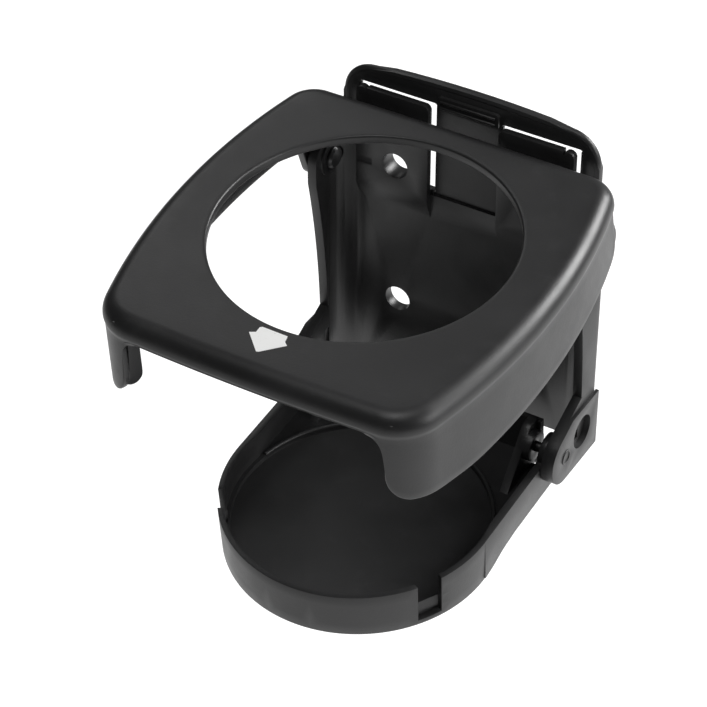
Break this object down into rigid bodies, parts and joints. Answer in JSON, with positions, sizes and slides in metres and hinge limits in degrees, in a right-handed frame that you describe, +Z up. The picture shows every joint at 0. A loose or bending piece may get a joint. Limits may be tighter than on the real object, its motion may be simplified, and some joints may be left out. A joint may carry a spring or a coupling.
{
  "type": "folding cup holder",
  "caption": "Folding car cup holder: a wall bracket with screw holes and hooks, a ring with a round cup hole that folds down, and a shallow round tray that folds up under it.",
  "frame": {"origin": "centre of the four screw holes, on the bracket's back face", "axes": "+X to the holder's left-to-right direction seen from the front, +Y into the wall, +Z up; the cup side faces -Y"},
  "size_m": [0.0974, 0.1028, 0.1022],
  "materials": {
    "black_plastic": "fine satin grain",
    "pin_plastic": "satin",
    "pin_steel": "blackened",
    "white_print": "thin pad print"
  },
  "bodies": {
    "bracket": {"bracket": "black_plastic", "tray_pin_left": "pin_steel", "tray_pin_right": "pin_steel"},
    "ring": {"ring": "black_plastic", "ring_pin_left": "pin_plastic", "ring_pin_right": "pin_plastic"},
    "tray": {"tray": "black_plastic"}
  },
  "joints": [
    {"name": "ring_fold", "type": "hinge", "parent": "bracket", "child": "ring", "pos_m": [0, -0.0078, 0.02], "axis": [1, 0, 0], "range_deg": [0, 27]},
    {"name": "tray_fold", "type": "hinge", "parent": "bracket", "child": "tray", "pos_m": [0, -0.0185, -0.0378], "axis": [-1, 0, 0], "range_deg": [0, 104]}
  ]
}
